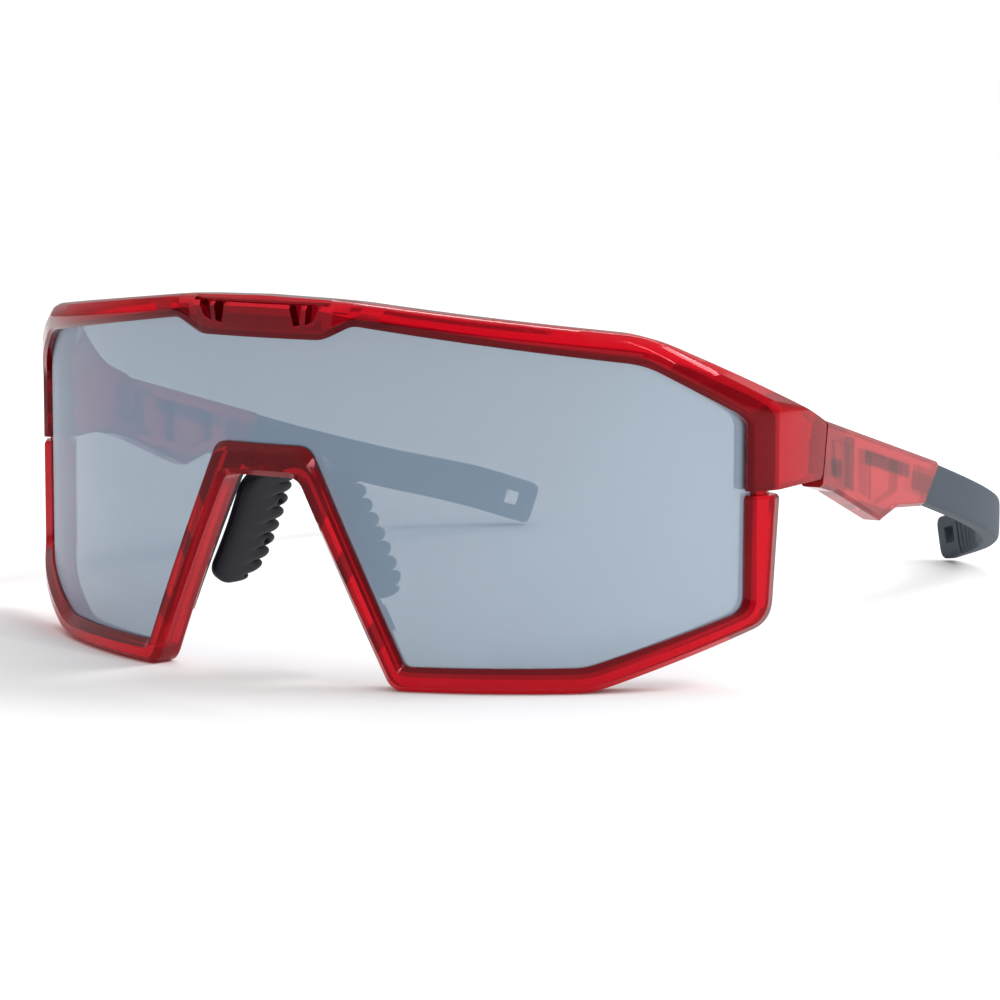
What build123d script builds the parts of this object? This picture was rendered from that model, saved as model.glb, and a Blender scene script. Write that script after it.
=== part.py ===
"""Wraparound sport sunglasses with a one-piece shield lens, standing open on a table.

Millimetres. +Z is up from the table, the glasses face -Y and the temples run back along +Y.
Left is the wearer's left, at +X. Pieces are drawn with the front of the lens at Y = 0 and
are moved by front_y when they are written, which puts the origin under the middle of the
whole object, on the table.

The lens is a slice of an upright cylinder, so the frame's outlines are drawn as corners on
that cylinder: each edge is a plane that holds two corners and the radius between them.
"""

from math import asin, atan2, cos, degrees, radians, sin, sqrt
import os

from build123d import *

# ---- overall ----
front_y = -86.85  # where the front of the lens goes, from the middle of the object
lens_radius = 83.0  # of the middle of the lens, about an upright axis
lens_thickness = 1.8
frame_front = 2.6  # the frame's front face, outside the lens radius
frame_back = 3.0  # the frame's back face, inside the lens radius

# ---- outlines, as X and Z on the cylinder, right half only ----
opening_top = 61.6  # height at the middle of the line that the brow follows
opening_corners = [(57.2, 53.0), (68.6, 43.7), (68.6, 12.3), (50.2, 4.1)]
opening_radius = 3.0
outer_top = 63.4
outer_corners = [(20.0, 62.6), (59.8, 57.6), (73.5, 45.8), (72.9, 10.0), (52.6, 0.0)]
outer_radius = 4.0
front_bevel = 1.1  # round the outside of the frame's front face
arch_lens_top, arch_lens_foot = (8.8, 39.2), (26.5, 0.0)  # lens side of the nose arch
arch_nose_top, arch_nose_foot = (7.1, 33.9), (23.3, 0.0)  # nose side of the nose arch
arch_radius = 3.0
dip_bottom, dip_top = (11.4, 56.6), (23.9, 63.0)  # brow dip over the vents

# ---- lens seat ----
groove_depth = 1.3
edge_clearance = 0.25
face_clearance = 0.12

# ---- split between the upper and the lower frame ----
split_z = 31.5
split_gap = 0.8
arch_zone_x, arch_zone_z = 32.0, 46.0  # the lower frame owns everything in here
tenon_radius, tenon_height, tenon_clearance = 0.85, 2.8, 0.05
tenon_inset = 3.0  # from the lens opening, along the frame

# ---- brow vents ----
vent_x, vent_z, vent_width, vent_height = 9.0, 60.2, 6.5, 2.2

# ---- end pieces and hinge ----
side_y = lens_radius - sqrt(lens_radius**2 - outer_corners[2][0] ** 2)  # of the front's sides
end_plan = [  # X and Y
    (72.4, side_y - 7.4),
    (74.3, side_y + 5.6),
    (74.3, 60.0),
    (67.2, 60.0),
    (67.2, side_y - 1.4),
]
end_top_front = (46.6, 44.4)  # Y and Z, where the top of the end piece starts to fall
hinge_x, hinge_y = 69.6, 56.9
knuckle_radius, knuckle_clearance = 2.4, 0.3
knuckle_gap = 0.1
ear_bottom, ear_top = 31.9, 40.9
ear_height, ear_reach = 2.5, 6.0
screw_radius, bore_clearance = 0.7, 0.05
head_radius, head_height = 1.35, 0.8
driver_slot = 0.35
parting_lean = 0.18  # the parting face goes forwards by this much per mm down
parting_gap = 0.35

# ---- temples ----
temple_outer, temple_thickness, temple_bevel = 74.3, 4.2, 0.6
temple_front_top = (56.9, 41.4)  # Y and Z
temple_front_bottom_z = 30.4
temple_chin = (80.0, 21.7)
temple_chin_back = (87.0, 23.1)
temple_back_bottom = (97.7, 22.1)
temple_back_top = (104.6, 29.2)
pocket_corners = [(61.5, 37.8), (88.0, 31.1), (88.0, 26.0), (80.0, 24.6), (62.5, 31.2)]
pocket_depth, pocket_rib, pocket_rib_y = 1.7, 1.6, 76.0

# ---- rubber temple tips and their cores ----
tip_path = [  # X, Y and Z of the middle of the tip, then its thickness and height there
    (72.1, 93.0, 28.1, 4.2, 7.6),
    (71.9, 104.0, 25.2, 4.0, 7.6),
    (70.8, 121.0, 20.7, 3.7, 7.7),
    (68.9, 136.0, 16.7, 3.6, 7.9),
    (65.9, 149.0, 13.2, 3.6, 8.2),
    (62.0, 158.0, 10.8, 3.7, 8.4),
    (56.3, 166.4, 8.1, 3.9, 8.7),
    (46.8, 174.0, 4.2, 4.1, 8.9),
]
tip_rounding = 1.3
tip_gap = 0.1
strap_hole, strap_hole_inset = 3.2, 5.0  # the square hole for a cord, and how far from the end
tongue_thickness, tongue_height, tongue_length = 2.0, 4.2, 11.0
core_thickness, core_height = 1.2, 2.8
core_end = 5  # how many steps of the tip's path the core runs along
core_clearance = 0.05

# ---- nose piece ----
clip_thickness, clip_gap = 1.6, 0.15
clip_inset, clip_nose_inset, clip_foot = 1.0, 1.4, 9.0  # from the arch's edges, and its height
clip_windows, clip_window = [(13.0, 18.5), (24.5, 29.0)], 1.3  # Z of each window, and its width
peg_x, peg_z, peg_radius, peg_tip_y, peg_length = 3.2, 35.8, 0.9, 1.4, 2.2
socket_clearance = 0.05
wire_radius, wire_clearance = 0.5, 0.05
wire_x, wire_z, wire_turn_y = 5.8, 35.8, 9.0
pad_root, pad_end = (6.9, 12.0, 32.0), (14.6, 13.4, 15.0)
pad_across = (0.02, 1.0, 0.06)  # from the pad's front edge to its rear edge
pad_width, pad_thickness, pad_ends = 11.6, 2.4, 4.0  # the last is how far it runs past both
slit_count, slit_pitch, slit_width, slit_depth = 7, 2.35, 0.6, 2.6  # between the fingers


back_radius = lens_radius - frame_back
front_radius = lens_radius + frame_front


def on_cylinder(x, z, radius):
    """The point at X and Z on an upright cylinder of this radius, round the lens's axis."""
    return Vector(x, lens_radius - sqrt(radius**2 - x**2), z)


def inside_of(corners, at_radius, r_in, r_out, grow=0.0, corner_radius=0.0):
    """A curved slab between two radii, cut by one plane for each edge of a convex outline.

    Corners run clockwise as seen from the front. Each plane holds the edge's two corners and
    the radius halfway between them, and is moved outwards by grow.
    """
    with BuildPart() as slab:
        with BuildSketch(Plane.XY.offset(-20)):
            with Locations((0, lens_radius)):
                Circle(r_out)
                Circle(r_in, mode=Mode.SUBTRACT)
        extrude(amount=100)
        split(bisect_by=Plane.XZ.offset(-lens_radius), keep=Keep.TOP)
        for (x0, z0), (x1, z1) in zip(corners, corners[1:] + corners[:1]):
            start = on_cylinder(x0, z0, at_radius)
            end = on_cylinder(x1, z1, at_radius)
            middle = (start + end) * 0.5
            radial = Vector(middle.X, middle.Y - lens_radius, 0).normalized()
            outwards = radial.cross(end - start).normalized()
            edge_plane = Plane(origin=middle + outwards * grow, z_dir=outwards)
            split(bisect_by=edge_plane, keep=Keep.BOTTOM)
        if corner_radius:
            level = slab.edges().filter_by(lambda e: abs(e.tangent_at(0.5).Z) < 0.3)
            straight = level.filter_by(GeomType.LINE)
            fillet(straight, corner_radius)
    return slab.part


def mirrored(half):
    """The full outline, clockwise from the front, from its right half and the mirror of it."""
    return half + [(-x, z) for x, z in reversed(half)]


def extended(top, foot, drop):
    """The foot of a sloping edge, moved further along it by drop in height."""
    share = (top[1] - foot[1] + drop) / (top[1] - foot[1])
    return (top[0] + (foot[0] - top[0]) * share, top[1] + (foot[1] - top[1]) * share)


def lens_area(r_in, r_out, grow, corner_radius):
    """The lens's outline as a slab: the shield, less the nose arch and the brow dip."""
    shield = mirrored([(0.0, opening_top)] + opening_corners)[:-1]
    arch = mirrored([arch_lens_top, extended(arch_lens_top, arch_lens_foot, 8)])
    dip = [dip_bottom, (-dip_bottom[0], dip_bottom[1]), (-dip_top[0], dip_top[1])]
    dip += [(-dip_top[0], 75.0), (dip_top[0], 75.0), dip_top]
    with BuildPart() as area:
        add(inside_of(shield, lens_radius, r_in, r_out, grow, corner_radius))
        add(inside_of(arch, lens_radius, r_in - 1, r_out + 1, -grow, arch_radius), mode=Mode.SUBTRACT)
        add(inside_of(dip, lens_radius, r_in - 1, r_out + 1, -grow), mode=Mode.SUBTRACT)
    return area.part


def on_front_face(edge):
    """True for an edge that lies along the frame's front face."""
    points = [edge.position_at(share) for share in (0, 0.3, 0.7, 1)]
    reach = [sqrt(point.X**2 + (point.Y - lens_radius) ** 2) for point in points]
    return all(abs(r - front_radius) < 0.01 for r in reach)


def leg_middle(z):
    """X of the middle of the arch's leg at this height."""
    lens_run = (arch_lens_foot[0] - arch_lens_top[0]) / (arch_lens_top[1] - arch_lens_foot[1])
    nose_run = (arch_nose_foot[0] - arch_nose_top[0]) / (arch_nose_top[1] - arch_nose_foot[1])
    lens_side = arch_lens_top[0] + (arch_lens_top[1] - z) * lens_run
    nose_side = arch_nose_top[0] + (arch_nose_top[1] - z) * nose_run
    return (lens_side + nose_side) / 2


def save(part, name):
    """Labels a finished piece, moves it to the object's origin and writes it."""
    moved = part.moved(Location((0, front_y, 0)))
    moved.label = name
    export_step(moved, f"parts/{name}.step")


def save_pair(left_part, name):
    """Writes a left-hand piece, and its mirror image for the right."""
    save(left_part, f"{name}_left")
    save(left_part.mirror(Plane.YZ), f"{name}_right")


os.makedirs("parts", exist_ok=True)
groove_half = lens_thickness / 2 + face_clearance

# ---- lens ----
with BuildPart() as lens:
    add(
        lens_area(
            lens_radius - lens_thickness / 2,
            lens_radius + lens_thickness / 2,
            groove_depth - edge_clearance,
            opening_radius,
        )
    )
save(lens.part, "lens")

# ---- both frames as one, before they are parted ----
with BuildPart() as whole_frame:
    outline = mirrored([(0.0, outer_top)] + outer_corners)[:-1]
    add(inside_of(outline, front_radius, back_radius, front_radius, 0.0, outer_radius))
    chamfer(whole_frame.edges().filter_by(on_front_face), front_bevel)
    nose = mirrored([arch_nose_top, extended(arch_nose_top, arch_nose_foot, 8)])
    nose_gap = inside_of(nose, front_radius, back_radius - 1, front_radius + 1, 0.0, arch_radius)
    add(nose_gap, mode=Mode.SUBTRACT)
    opening = lens_area(back_radius - 1, front_radius + 1, 0.0, opening_radius)
    add(opening, mode=Mode.SUBTRACT)
    groove = lens_area(
        lens_radius - groove_half, lens_radius + groove_half, groove_depth, opening_radius
    )
    add(groove, mode=Mode.SUBTRACT)

# where a tenon of the lower frame stands, in the middle of the side bar
tenon_angle = asin(opening_corners[1][0] / lens_radius) + tenon_inset / lens_radius
tenon_xy = (lens_radius * sin(tenon_angle), lens_radius * (1 - cos(tenon_angle)))


def tenon_place(x_sign):
    """The foot of a tenon, at the top of the lower frame's side bar."""
    return (x_sign * tenon_xy[0], tenon_xy[1])


# ---- lower frame: everything under the split, and the nose arch ----
with BuildPart() as lower_zone:
    with BuildSketch(Plane.XZ.offset(-lens_radius)):
        with Locations((0, split_z - split_gap / 2)):
            Rectangle(300, 100, align=(Align.CENTER, Align.MAX))
        Rectangle(2 * arch_zone_x, arch_zone_z, align=(Align.CENTER, Align.MIN))
    extrude(amount=2 * lens_radius)

with BuildPart() as lower_frame:
    add(whole_frame.part)
    add(lower_zone.part, mode=Mode.INTERSECT)
    # tenons that stand up from the side bars and clip into the upper frame
    with BuildSketch(Plane.XY.offset(split_z - split_gap / 2 - 1)):
        with Locations(tenon_place(1), tenon_place(-1)):
            Circle(tenon_radius)
    extrude(amount=tenon_height + 1)
    # sockets for the nose clip's pegs, in the back of the arch
    with BuildSketch(Plane.XZ.offset(-peg_tip_y)):
        with Locations((peg_x, peg_z), (-peg_x, peg_z)):
            Circle(peg_radius + socket_clearance)
    extrude(amount=-(peg_length + 3), mode=Mode.SUBTRACT)
save(lower_frame.part, "lower_frame")

# ---- upper frame: brow, side bars and the end pieces that carry the hinges ----
with BuildPart() as upper_zone:
    with BuildSketch(Plane.XZ.offset(-lens_radius)):
        with Locations((0, split_z + split_gap / 2)):
            Rectangle(300, 100, align=(Align.CENTER, Align.MIN))
        Rectangle(
            2 * arch_zone_x, arch_zone_z + 1, align=(Align.CENTER, Align.MIN), mode=Mode.SUBTRACT
        )
    extrude(amount=2 * lens_radius)


def end_piece():
    """The left end piece, from the side bar back to the parting face, with two hinge ears."""
    with BuildPart() as piece:
        with BuildSketch(Plane.XY.offset(ear_bottom)):
            with BuildLine():
                Polyline(end_plan, close=True)
            make_face()
        extrude(amount=end_top_front[1] - ear_bottom + 2)
        with BuildSketch(Plane.YZ.offset(40)):
            with BuildLine():
                Polyline(
                    (side_y - 14.4, ear_bottom),
                    (side_y - 8.8, end_top_front[1] + 0.6),
                    end_top_front,
                    temple_front_top,
                    parting_at(ear_bottom),
                    close=True,
                )
            make_face()
        extrude(amount=60, mode=Mode.INTERSECT)
        for foot in (ear_bottom, ear_top - ear_height):
            with BuildSketch(Plane.XY.offset(foot)):
                with Locations((hinge_x, hinge_y)):
                    Circle(knuckle_radius)
                with Locations((hinge_x, hinge_y - ear_reach)):
                    Rectangle(2 * knuckle_radius, ear_reach, align=(Align.CENTER, Align.MIN))
            extrude(amount=ear_height)
        # room for the temple's knuckle between the ears
        with BuildSketch(Plane.XY.offset(ear_bottom + ear_height)):
            with Locations((hinge_x, hinge_y)):
                Circle(knuckle_radius + knuckle_clearance)
        extrude(amount=ear_top - ear_bottom - 2 * ear_height, mode=Mode.SUBTRACT)
        # bore for the screw, with a seat for its head
        with BuildSketch(Plane.XY.offset(ear_bottom - 1)):
            with Locations((hinge_x, hinge_y)):
                Circle(screw_radius + bore_clearance)
        extrude(amount=20, mode=Mode.SUBTRACT)
        with BuildSketch(Plane.XY.offset(ear_top - head_height)):
            with Locations((hinge_x, hinge_y)):
                Circle(head_radius + bore_clearance)
        extrude(amount=20, mode=Mode.SUBTRACT)
    return piece.part


def parting_at(z):
    """Y and Z of the parting face between the end piece and the temple, at this height."""
    return (temple_front_top[0] - parting_lean * (temple_front_top[1] - z), z)


left_end = end_piece()
with BuildPart() as upper_frame:
    add(whole_frame.part)
    add(upper_zone.part, mode=Mode.INTERSECT)
    add(left_end)
    add(left_end.mirror(Plane.YZ))
    # the lens's groove stays clear where the end pieces were joined on
    add(groove, mode=Mode.SUBTRACT)
    add(opening, mode=Mode.SUBTRACT)
    # sockets for the lower frame's tenons
    with BuildSketch(Plane.XY.offset(split_z)):
        with Locations(tenon_place(1), tenon_place(-1)):
            Circle(tenon_radius + tenon_clearance)
    extrude(amount=tenon_height + 0.2, mode=Mode.SUBTRACT)
    # vents through the brow
    with BuildSketch(Plane.XZ.offset(frame_front + 2)):
        with Locations((vent_x, vent_z), (-vent_x, vent_z)):
            SlotOverall(vent_width, vent_height)
    extrude(amount=-12, mode=Mode.SUBTRACT)
save(upper_frame.part, "upper_frame")

# ---- hinge screws ----
with BuildPart() as screw:
    with BuildSketch(Plane.XY.offset(ear_bottom)):
        with Locations((hinge_x, hinge_y)):
            Circle(screw_radius)
    extrude(amount=ear_top - ear_bottom - head_height + 0.02)
    with BuildSketch(Plane.XY.offset(ear_top - head_height + 0.02)):
        with Locations((hinge_x, hinge_y)):
            Circle(head_radius)
    extrude(amount=head_height - 0.07)
    with BuildSketch(Plane.XY.offset(ear_top - 0.05)):
        with Locations((hinge_x, hinge_y)):
            Rectangle(2 * head_radius, driver_slot)
    extrude(amount=-driver_slot, mode=Mode.SUBTRACT)
save_pair(screw.part, "hinge_screw")

with BuildLine() as tip_line:
    Spline([station[:3] for station in tip_path])
tip_spine = tip_line.edges()[0]


def tip_place(share):
    """A plane across the left tip at a share of its path: X through it, Y up, Z backwards."""
    along = tip_spine.tangent_at(share)
    through = Vector(along.Y, -along.X, 0).normalized()
    return Plane(origin=tip_spine.position_at(share), x_dir=through, z_dir=along)


def along_tip(stations, thickness, height):
    """A bar along the tip's path; with no thickness or height given, the tip's own."""
    with BuildPart() as bar:
        for station in tip_path[:stations]:
            share = tip_spine.param_at_point(Vector(*station[:3]))
            wide = thickness or station[3]
            tall = height or station[4]
            with BuildSketch(tip_place(share)):
                RectangleRounded(wide, tall, min(tip_rounding, wide * 0.3))
        loft()
    return bar.part


def tip_front_plane(shift):
    """The slanting plane where the tip meets the temple; its normal points backwards."""
    low = Vector(0, temple_back_bottom[0] + shift, temple_back_bottom[1])
    high = Vector(0, temple_back_top[0] + shift, temple_back_top[1])
    return Plane(origin=low, z_dir=Vector(1, 0, 0).cross(high - low) * -1)


def core_shape(grow):
    """The core: a flat bar inside the tip, with a deeper tongue inside the temple."""
    root = tip_place(0)
    with BuildPart() as shape:
        add(along_tip(core_end, core_thickness + 2 * grow, core_height + 2 * grow))
        with BuildSketch(root):
            Rectangle(50, 50)
        extrude(amount=2 - grow, mode=Mode.SUBTRACT)
        with BuildSketch(root.offset(2 - grow)):
            Rectangle(tongue_thickness + 2 * grow, tongue_height + 2 * grow)
        extrude(amount=tongue_length + 2 * grow)
    return shape.part


# ---- temples ----
temple_inner = temple_outer - temple_thickness
with BuildPart() as temple:
    with BuildSketch(Plane.YZ.offset(temple_inner)):
        with BuildLine():
            front_top = (temple_front_top[0] + parting_gap, temple_front_top[1])
            front_bottom = parting_at(temple_front_bottom_z)
            Polyline(
                front_top,
                temple_back_top,
                temple_back_bottom,
                temple_chin_back,
                temple_chin,
                (front_bottom[0] + 6, temple_front_bottom_z - 1.4),
                (front_bottom[0] + parting_gap, front_bottom[1]),
                close=True,
            )
        make_face()
    extrude(amount=temple_thickness)
    outline = temple.edges().filter_by(lambda e: abs(e.tangent_at(0.5).X) < 0.1)
    outline = outline.filter_by(lambda e: e.center().Y > temple_front_top[0] + 1)
    chamfer(outline.filter_by(lambda e: e.center().Y < temple_back_bottom[0]), temple_bevel)
    # pockets in the inner face, either side of a rib
    with BuildSketch(Plane.YZ.offset(temple_inner)):
        with BuildLine():
            Polyline(pocket_corners, close=True)
        make_face()
        with Locations((pocket_rib_y, 30)):
            Rectangle(pocket_rib, 40, mode=Mode.SUBTRACT)
    extrude(amount=pocket_depth, mode=Mode.SUBTRACT)
    # room for the end piece's ears, and the knuckle between them
    for foot in (ear_bottom, ear_top - ear_height):
        with BuildSketch(Plane.XY.offset(foot - knuckle_gap)):
            with Locations((hinge_x, hinge_y)):
                Circle(knuckle_radius + knuckle_clearance)
                Rectangle(
                    2 * (knuckle_radius + knuckle_clearance), 9, align=(Align.CENTER, Align.MAX)
                )
        extrude(amount=ear_height + 2 * knuckle_gap, mode=Mode.SUBTRACT)
    with BuildSketch(Plane.XY.offset(ear_bottom + ear_height + knuckle_gap)):
        with Locations((hinge_x, hinge_y)):
            Circle(knuckle_radius)
    extrude(amount=ear_top - ear_bottom - 2 * ear_height - 2 * knuckle_gap)
    with BuildSketch(Plane.XY.offset(ear_bottom)):
        with Locations((hinge_x, hinge_y)):
            Circle(screw_radius + bore_clearance)
    extrude(amount=20, mode=Mode.SUBTRACT)
    # the socket for the core's tongue
    add(core_shape(core_clearance), mode=Mode.SUBTRACT)
save_pair(temple.part, "temple")

# ---- rubber temple tips ----
with BuildPart() as tip:
    add(along_tip(len(tip_path), 0, 0))
    split(bisect_by=tip_front_plane(tip_gap), keep=Keep.TOP)
    add(core_shape(core_clearance), mode=Mode.SUBTRACT)
    # the square hole for a cord
    hole_place = tip_place(1 - strap_hole_inset / tip_spine.length)
    with BuildSketch(Plane(hole_place.origin - hole_place.x_dir * 10, z_dir=hole_place.x_dir,
                           x_dir=hole_place.z_dir)):
        Rectangle(strap_hole, strap_hole)
    extrude(amount=20, mode=Mode.SUBTRACT)
save_pair(tip.part, "temple_tip")

# ---- temple cores ----
with BuildPart() as core:
    add(core_shape(0))
save_pair(core.part, "temple_core")

# ---- nose clip: a saddle and two legs that lie behind the arch ----
clip_outer = back_radius - clip_gap
with BuildPart() as nose_clip:
    legs = mirrored([arch_lens_top, extended(arch_lens_top, arch_lens_foot, 8)])
    add(inside_of(legs, lens_radius, clip_outer - clip_thickness, clip_outer, -clip_inset, 2.0))
    cut = inside_of(nose, front_radius, back_radius - 9, front_radius, clip_nose_inset, arch_radius)
    add(cut, mode=Mode.SUBTRACT)
    with BuildSketch(Plane.XZ.offset(-lens_radius)):
        with Locations((0, clip_foot)):
            Rectangle(100, 60, align=(Align.CENTER, Align.MIN))
    extrude(amount=2 * lens_radius, mode=Mode.INTERSECT)
    # windows through the legs
    for low, high in clip_windows:
        with BuildSketch(Plane.XZ.offset(-lens_radius)):
            for side in (1, -1):
                with BuildLine():
                    Polyline(
                        (side * leg_middle(high) - clip_window / 2, high),
                        (side * leg_middle(high) + clip_window / 2, high),
                        (side * leg_middle(low) + clip_window / 2, low),
                        (side * leg_middle(low) - clip_window / 2, low),
                        close=True,
                    )
                make_face()
        extrude(amount=lens_radius, mode=Mode.SUBTRACT)
    with BuildSketch(Plane.XZ.offset(-peg_tip_y - 0.1)):
        with Locations((peg_x, peg_z), (-peg_x, peg_z)):
            Circle(peg_radius)
    extrude(amount=-(peg_length + 0.6))
    with BuildSketch(Plane.XZ.offset(-peg_tip_y - 2)):
        with Locations((wire_x, wire_z), (-wire_x, wire_z)):
            Circle(wire_radius + wire_clearance)
    extrude(amount=-10, mode=Mode.SUBTRACT)
save(nose_clip.part, "nose_clip")


def wire_shape(grow):
    """The left nose wire: out of the clip, then down through the middle of the pad."""
    root = Vector(*pad_root)
    end = Vector(*pad_end)
    with BuildPart() as shape:
        with BuildLine() as wire_path:
            FilletPolyline(
                Vector(wire_x, lens_radius - clip_outer + 0.5, wire_z),
                Vector(wire_x, wire_turn_y, wire_z),
                root + (end - root) * 0.1,
                root + (end - root) * 0.6,
                radius=1.2,
            )
        with BuildSketch(Plane(origin=wire_path.line @ 0, z_dir=wire_path.line % 0)):
            Circle(wire_radius + grow)
        sweep()
    return shape.part


with BuildPart() as nose_wire:
    add(wire_shape(0))
save_pair(nose_wire.part, "nose_wire")

# ---- nose pads ----
pad_length_way = Vector(*pad_end) - Vector(*pad_root)
pad_middle = (Vector(*pad_end) + Vector(*pad_root)) * 0.5
pad_face_way = Vector(*pad_across).cross(pad_length_way).normalized()
pad_plane = Plane(origin=pad_middle, x_dir=pad_length_way, z_dir=pad_face_way)
with BuildPart() as nose_pad:
    with BuildSketch(pad_plane.offset(-pad_thickness / 2)):
        RectangleRounded(pad_length_way.length + pad_ends, pad_width, pad_width * 0.42)
        # slits in the rear edge, which leave a row of soft fingers
        with Locations((1.0, -pad_width / 2)):
            with GridLocations(slit_pitch, 1, slit_count, 1):
                Rectangle(slit_width, 2 * slit_depth, mode=Mode.SUBTRACT)
    extrude(amount=pad_thickness)
    add(wire_shape(wire_clearance), mode=Mode.SUBTRACT)
save_pair(nose_pad.part, "nose_pad")
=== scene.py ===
import math

import bmesh
import bpy
import numpy as np
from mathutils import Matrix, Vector


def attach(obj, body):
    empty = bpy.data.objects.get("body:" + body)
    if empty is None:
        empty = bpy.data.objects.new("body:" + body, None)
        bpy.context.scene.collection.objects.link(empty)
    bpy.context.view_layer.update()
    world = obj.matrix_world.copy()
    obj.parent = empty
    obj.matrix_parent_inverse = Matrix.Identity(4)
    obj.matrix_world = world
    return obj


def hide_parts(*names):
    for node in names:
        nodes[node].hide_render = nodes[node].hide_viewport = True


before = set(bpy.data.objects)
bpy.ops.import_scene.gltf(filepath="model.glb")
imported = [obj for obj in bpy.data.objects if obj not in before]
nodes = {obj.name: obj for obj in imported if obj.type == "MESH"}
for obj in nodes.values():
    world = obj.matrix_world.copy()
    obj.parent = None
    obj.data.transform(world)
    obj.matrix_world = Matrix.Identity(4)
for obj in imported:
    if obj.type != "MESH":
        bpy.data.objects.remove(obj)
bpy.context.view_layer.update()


# ---- Table, light and camera ----
# The glasses stand on a plain white table, on the lower rim and the two tips of the temples.
# A bright even sky and a low sun from behind light them; two long lamps behind and at the side
# draw the glints along the edges.

front_shift = -0.08685  # Y of the front of the lens


def plain(name, colour, roughness, grain=400.0):
    """A matte material whose shade varies a little with a fine noise, for what isn't the object."""
    material = bpy.data.materials.new(name)
    material.use_nodes = True
    tree = material.node_tree
    shader = tree.nodes["Principled BSDF"]
    shader.inputs["Roughness"].default_value = roughness
    noise = tree.nodes.new("ShaderNodeTexNoise")
    noise.inputs["Scale"].default_value = grain
    ramp = tree.nodes.new("ShaderNodeValToRGB")
    ramp.color_ramp.elements[0].color = (*[c * 0.98 for c in colour], 1)
    ramp.color_ramp.elements[1].color = (*colour, 1)
    tree.links.new(noise.outputs["Fac"], ramp.inputs["Fac"])
    tree.links.new(ramp.outputs["Color"], shader.inputs["Base Color"])
    return material


def flat_grid(name, half_x, half_y, centre_y):
    """A level sheet: X and Y run over a grid of two parameters, and Z is 0."""
    across, along = np.meshgrid(np.linspace(-1, 1, 5), np.linspace(-1, 1, 5))
    points = np.stack([across * half_x, along * half_y + centre_y, 0 * across], -1).reshape(-1, 3)
    index = np.arange(25).reshape(5, 5)
    faces = np.stack([index[:-1, :-1], index[:-1, 1:], index[1:, 1:], index[1:, :-1]], -1).reshape(-1, 4)
    mesh = bpy.data.meshes.new(name)
    mesh.from_pydata(points.tolist(), [], faces.tolist())
    thing = bpy.data.objects.new(name, mesh)
    bpy.context.scene.collection.objects.link(thing)
    return thing


table = flat_grid("table_top", 3.0, 3.0, 0.5)
table.data.materials.append(plain("white_table", (0.95, 0.95, 0.95), 0.9))

world = bpy.data.worlds.new("white_room")
bpy.context.scene.world = world
world.use_nodes = True
sky = world.node_tree
direction = sky.nodes.new("ShaderNodeTexCoord")
apart = sky.nodes.new("ShaderNodeSeparateXYZ")
sky.links.new(direction.outputs["Generated"], apart.inputs[0])
climb = sky.nodes.new("ShaderNodeMath")  # brighter overhead than round the sides
climb.operation = "MULTIPLY_ADD"
climb.inputs[1].default_value = 0.90
climb.inputs[2].default_value = 0.22
sky.links.new(apart.outputs["Z"], climb.inputs[0])
lean = sky.nodes.new("ShaderNodeMath")  # and brighter behind the glasses than in front
lean.operation = "MULTIPLY_ADD"
lean.inputs[1].default_value = 0.20
sky.links.new(apart.outputs["Y"], lean.inputs[0])
sky.links.new(climb.outputs[0], lean.inputs[2])
seen = sky.nodes.new("ShaderNodeLightPath")
pick = sky.nodes.new("ShaderNodeMath")  # the backdrop itself is plain white
pick.operation = "MAXIMUM"
sky.links.new(seen.outputs["Is Camera Ray"], pick.inputs[0])
sky.links.new(lean.outputs[0], pick.inputs[1])
sky.nodes["Background"].inputs["Color"].default_value = (1.0, 1.0, 1.0, 1)
sky.links.new(pick.outputs[0], sky.nodes["Background"].inputs["Strength"])


def soft_light(name, place, aim, width, depth, power):
    """A rectangular lamp at a place, turned to face another place."""
    lamp = bpy.data.lights.new(name, "AREA")
    lamp.shape = "RECTANGLE"
    lamp.size = width
    lamp.size_y = depth
    lamp.energy = power
    thing = bpy.data.objects.new(name, lamp)
    thing.location = place
    thing.rotation_euler = (Vector(aim) - Vector(place)).to_track_quat("-Z", "Y").to_euler()
    bpy.context.scene.collection.objects.link(thing)


sun = bpy.data.lights.new("window_light", "SUN")
sun.energy = 1.35
sun.angle = math.radians(22)
window = bpy.data.objects.new("window_light", sun)
window.rotation_euler = Vector((0.62, 0.45, 0.62)).to_track_quat("Z", "Y").to_euler()
bpy.context.scene.collection.objects.link(window)
soft_light("back_strip", (0.05, 0.35, 0.55), (0, -0.05, 0.05), 0.9, 0.03, 1.4)
soft_light("side_strip", (0.70, -0.25, 0.45), (0.05, -0.05, 0.04), 0.03, 0.6, 0.9)

view_azimuth, view_elevation, view_distance = math.radians(30.64), math.radians(7.469), 0.64996
aim_point = Vector((0, 0.055 + front_shift, 0.030))
towards = Vector((
    math.sin(view_azimuth) * math.cos(view_elevation),
    -math.cos(view_azimuth) * math.cos(view_elevation),
    math.sin(view_elevation),
))
camera_data = bpy.data.cameras.new("camera")
camera_data.sensor_width = 36.0
camera_data.lens = 132.82
camera_data.shift_x = 0.063
camera_data.shift_y = -0.0392
camera_data.clip_start = 0.01
camera_data.clip_end = 20.0
camera = bpy.data.objects.new("camera", camera_data)
camera.location = aim_point + towards * view_distance
camera.rotation_euler = towards.to_track_quat("Z", "Y").to_euler()
bpy.context.scene.collection.objects.link(camera)
bpy.context.scene.camera = camera
bpy.context.scene.view_settings.view_transform = "Standard"


# ---- Upper frame ----
# One clear red moulding: the brow, the bars down the sides and the end pieces that carry the hinges.
# Its section runs along the top of the lens: a thin lip, a facet beside the lens in painted shade, a facet
# over that in painted light, and a groove for the lens inside. At the sides it deepens into the end
# pieces.

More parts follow.
